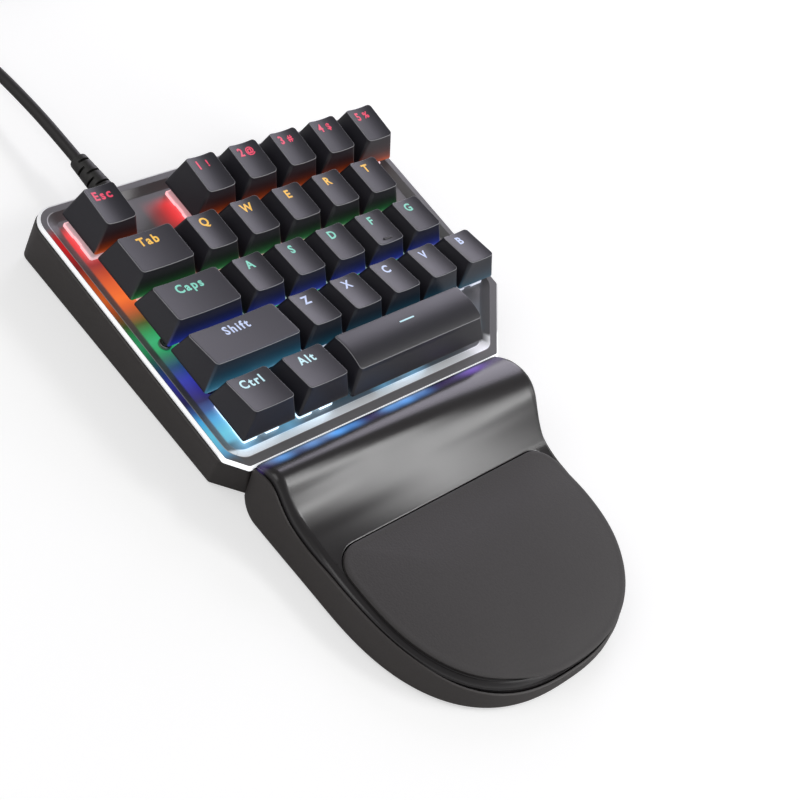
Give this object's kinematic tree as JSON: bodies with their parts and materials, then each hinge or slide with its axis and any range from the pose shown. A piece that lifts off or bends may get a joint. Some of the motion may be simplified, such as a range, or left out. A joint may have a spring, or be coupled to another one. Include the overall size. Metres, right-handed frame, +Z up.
{
  "type": "gaming keypad",
  "caption": "One-handed gaming keypad: black backlit keys in a gunmetal metal plate, charcoal case and a padded wrist rest with a high crest, on a coiled USB lead.",
  "frame": {"origin": "on the table, under the middle of the keypad's box, measured without the lead", "axes": "+Z up, +Y towards the rear where the lead leaves, +X to the right along the key rows"},
  "size_m": [0.1603, 0.3834, 0.0352],
  "materials": {
    "keycap": "satin black moulded keycap, fine texture, legends lit from below",
    "switch": "clear to milky switch housing that the lights shine through",
    "plate": "gunmetal grey fine-blasted metal with a bright polished chamfer round its edge",
    "stabiliser": "black moulded plastic",
    "wire": "bent spring steel wire",
    "board": "green printed circuit board",
    "screw": "black oxide screw",
    "case": "matte charcoal moulded plastic with a fine spark-eroded texture",
    "rubber": "matte black rubber",
    "rest_base": "matte charcoal moulded plastic",
    "rest_shell": "satin charcoal painted plastic with soft wide reflections",
    "pad": "matte fine-grained soft-touch leatherette over foam",
    "cord": "smooth matte black cord jacket",
    "tie": "black moulded strap",
    "grip": "matte black moulded plug grip",
    "plug": "bright nickel-plated steel sleeve"
  },
  "bodies": {
    "base": {"switch_row_number": "switch", "switch_row_upper": "switch", "switch_row_home": "switch", "switch_row_lower": "switch", "switch_row_bottom": "switch", "top_plate": "plate", "stabiliser_shift_left": "stabiliser", "stabiliser_shift_right": "stabiliser", "stabiliser_space_left": "stabiliser", "stabiliser_space_right": "stabiliser", "circuit_board": "board", "plate_screw_1": "screw", "plate_screw_2": "screw", "plate_screw_3": "screw", "bottom_case": "case", "foot_rear_left": "rubber", "foot_rear_right": "rubber", "foot_front_left": "rubber", "foot_front_right": "rubber", "foot_rest_left": "rubber", "foot_rest_right": "rubber", "strain_relief": "rubber", "wrist_rest_base": "rest_base", "wrist_rest_shell": "rest_shell", "wrist_pad": "pad", "usb_cord": "cord", "cord_coil": "cord", "cord_tail": "cord", "cord_tie": "tie", "usb_plug_grip": "grip", "usb_plug_shell": "plug"},
    "key_esc": {"keycap_esc": "keycap"},
    "key_1": {"keycap_1": "keycap"},
    "key_2": {"keycap_2": "keycap"},
    "key_3": {"keycap_3": "keycap"},
    "key_4": {"keycap_4": "keycap"},
    "key_5": {"keycap_5": "keycap"},
    "key_tab": {"keycap_tab": "keycap"},
    "key_q": {"keycap_q": "keycap"},
    "key_w": {"keycap_w": "keycap"},
    "key_e": {"keycap_e": "keycap"},
    "key_r": {"keycap_r": "keycap"},
    "key_t": {"keycap_t": "keycap"},
    "key_caps": {"keycap_caps": "keycap"},
    "key_a": {"keycap_a": "keycap"},
    "key_s": {"keycap_s": "keycap"},
    "key_d": {"keycap_d": "keycap"},
    "key_f": {"keycap_f": "keycap"},
    "key_g": {"keycap_g": "keycap"},
    "key_shift": {"keycap_shift": "keycap"},
    "key_z": {"keycap_z": "keycap"},
    "key_x": {"keycap_x": "keycap"},
    "key_c": {"keycap_c": "keycap"},
    "key_v": {"keycap_v": "keycap"},
    "key_b": {"keycap_b": "keycap"},
    "key_ctrl": {"keycap_ctrl": "keycap"},
    "key_alt": {"keycap_alt": "keycap"},
    "key_space": {"keycap_space": "keycap"},
    "wire_shift": {"stabiliser_shift_wire": "wire"},
    "wire_space": {"stabiliser_space_wire": "wire"}
  },
  "joints": [
    {"name": "press_esc", "type": "slide", "parent": "base", "child": "key_esc", "axis": [0, 0.0323, -0.9995], "range_m": [0, 0.0036], "stiffness_N_per_m": 75, "springref_m": -0.004},
    {"name": "press_1", "type": "slide", "parent": "base", "child": "key_1", "axis": [0, 0.0323, -0.9995], "range_m": [0, 0.0036], "stiffness_N_per_m": 75, "springref_m": -0.004},
    {"name": "press_2", "type": "slide", "parent": "base", "child": "key_2", "axis": [0, 0.0323, -0.9995], "range_m": [0, 0.0036], "stiffness_N_per_m": 75, "springref_m": -0.004},
    {"name": "press_3", "type": "slide", "parent": "base", "child": "key_3", "axis": [0, 0.0323, -0.9995], "range_m": [0, 0.0036], "stiffness_N_per_m": 75, "springref_m": -0.004},
    {"name": "press_4", "type": "slide", "parent": "base", "child": "key_4", "axis": [0, 0.0323, -0.9995], "range_m": [0, 0.0036], "stiffness_N_per_m": 75, "springref_m": -0.004},
    {"name": "press_5", "type": "slide", "parent": "base", "child": "key_5", "axis": [0, 0.0323, -0.9995], "range_m": [0, 0.0036], "stiffness_N_per_m": 75, "springref_m": -0.004},
    {"name": "press_tab", "type": "slide", "parent": "base", "child": "key_tab", "axis": [0, 0.0323, -0.9995], "range_m": [0, 0.0036], "stiffness_N_per_m": 75, "springref_m": -0.004},
    {"name": "press_q", "type": "slide", "parent": "base", "child": "key_q", "axis": [0, 0.0323, -0.9995], "range_m": [0, 0.0036], "stiffness_N_per_m": 75, "springref_m": -0.004},
    {"name": "press_w", "type": "slide", "parent": "base", "child": "key_w", "axis": [0, 0.0323, -0.9995], "range_m": [0, 0.0036], "stiffness_N_per_m": 75, "springref_m": -0.004},
    {"name": "press_e", "type": "slide", "parent": "base", "child": "key_e", "axis": [0, 0.0323, -0.9995], "range_m": [0, 0.0036], "stiffness_N_per_m": 75, "springref_m": -0.004},
    {"name": "press_r", "type": "slide", "parent": "base", "child": "key_r", "axis": [0, 0.0323, -0.9995], "range_m": [0, 0.0036], "stiffness_N_per_m": 75, "springref_m": -0.004},
    {"name": "press_t", "type": "slide", "parent": "base", "child": "key_t", "axis": [0, 0.0323, -0.9995], "range_m": [0, 0.0036], "stiffness_N_per_m": 75, "springref_m": -0.004},
    {"name": "press_caps", "type": "slide", "parent": "base", "child": "key_caps", "axis": [0, 0.0323, -0.9995], "range_m": [0, 0.0036], "stiffness_N_per_m": 75, "springref_m": -0.004},
    {"name": "press_a", "type": "slide", "parent": "base", "child": "key_a", "axis": [0, 0.0323, -0.9995], "range_m": [0, 0.0036], "stiffness_N_per_m": 75, "springref_m": -0.004},
    {"name": "press_s", "type": "slide", "parent": "base", "child": "key_s", "axis": [0, 0.0323, -0.9995], "range_m": [0, 0.0036], "stiffness_N_per_m": 75, "springref_m": -0.004},
    {"name": "press_d", "type": "slide", "parent": "base", "child": "key_d", "axis": [0, 0.0323, -0.9995], "range_m": [0, 0.0036], "stiffness_N_per_m": 75, "springref_m": -0.004},
    {"name": "press_f", "type": "slide", "parent": "base", "child": "key_f", "axis": [0, 0.0323, -0.9995], "range_m": [0, 0.0036], "stiffness_N_per_m": 75, "springref_m": -0.004},
    {"name": "press_g", "type": "slide", "parent": "base", "child": "key_g", "axis": [0, 0.0323, -0.9995], "range_m": [0, 0.0036], "stiffness_N_per_m": 75, "springref_m": -0.004},
    {"name": "press_shift", "type": "slide", "parent": "base", "child": "key_shift", "axis": [0, 0.0323, -0.9995], "range_m": [0, 0.0036], "stiffness_N_per_m": 75, "springref_m": -0.004},
    {"name": "press_z", "type": "slide", "parent": "base", "child": "key_z", "axis": [0, 0.0323, -0.9995], "range_m": [0, 0.0036], "stiffness_N_per_m": 75, "springref_m": -0.004},
    {"name": "press_x", "type": "slide", "parent": "base", "child": "key_x", "axis": [0, 0.0323, -0.9995], "range_m": [0, 0.0036], "stiffness_N_per_m": 75, "springref_m": -0.004},
    {"name": "press_c", "type": "slide", "parent": "base", "child": "key_c", "axis": [0, 0.0323, -0.9995], "range_m": [0, 0.0036], "stiffness_N_per_m": 75, "springref_m": -0.004},
    {"name": "press_v", "type": "slide", "parent": "base", "child": "key_v", "axis": [0, 0.0323, -0.9995], "range_m": [0, 0.0036], "stiffness_N_per_m": 75, "springref_m": -0.004},
    {"name": "press_b", "type": "slide", "parent": "base", "child": "key_b", "axis": [0, 0.0323, -0.9995], "range_m": [0, 0.0036], "stiffness_N_per_m": 75, "springref_m": -0.004},
    {"name": "press_ctrl", "type": "slide", "parent": "base", "child": "key_ctrl", "axis": [0, 0.0323, -0.9995], "range_m": [0, 0.0036], "stiffness_N_per_m": 75, "springref_m": -0.004},
    {"name": "press_alt", "type": "slide", "parent": "base", "child": "key_alt", "axis": [0, 0.0323, -0.9995], "range_m": [0, 0.0036], "stiffness_N_per_m": 75, "springref_m": -0.004},
    {"name": "press_space", "type": "slide", "parent": "base", "child": "key_space", "axis": [0, 0.0323, -0.9995], "range_m": [0, 0.0036], "stiffness_N_per_m": 75, "springref_m": -0.004},
    {"name": "turn_shift_wire", "type": "hinge", "parent": "base", "child": "wire_shift", "pos_m": [-0.04554, 0.02426, 0.01348], "axis": [1, 0, 0], "range_deg": [-26.3, 0]},
    {"name": "turn_space_wire", "type": "hinge", "parent": "base", "child": "wire_space", "pos_m": [0.01399, 0.00522, 0.01286], "axis": [1, 0, 0], "range_deg": [-26.3, 0]}
  ],
  "couplings": [
    {"joint": "turn_shift_wire", "follows": "press_shift", "rad_per_m": -126.56},
    {"joint": "turn_space_wire", "follows": "press_space", "rad_per_m": -126.56}
  ]
}
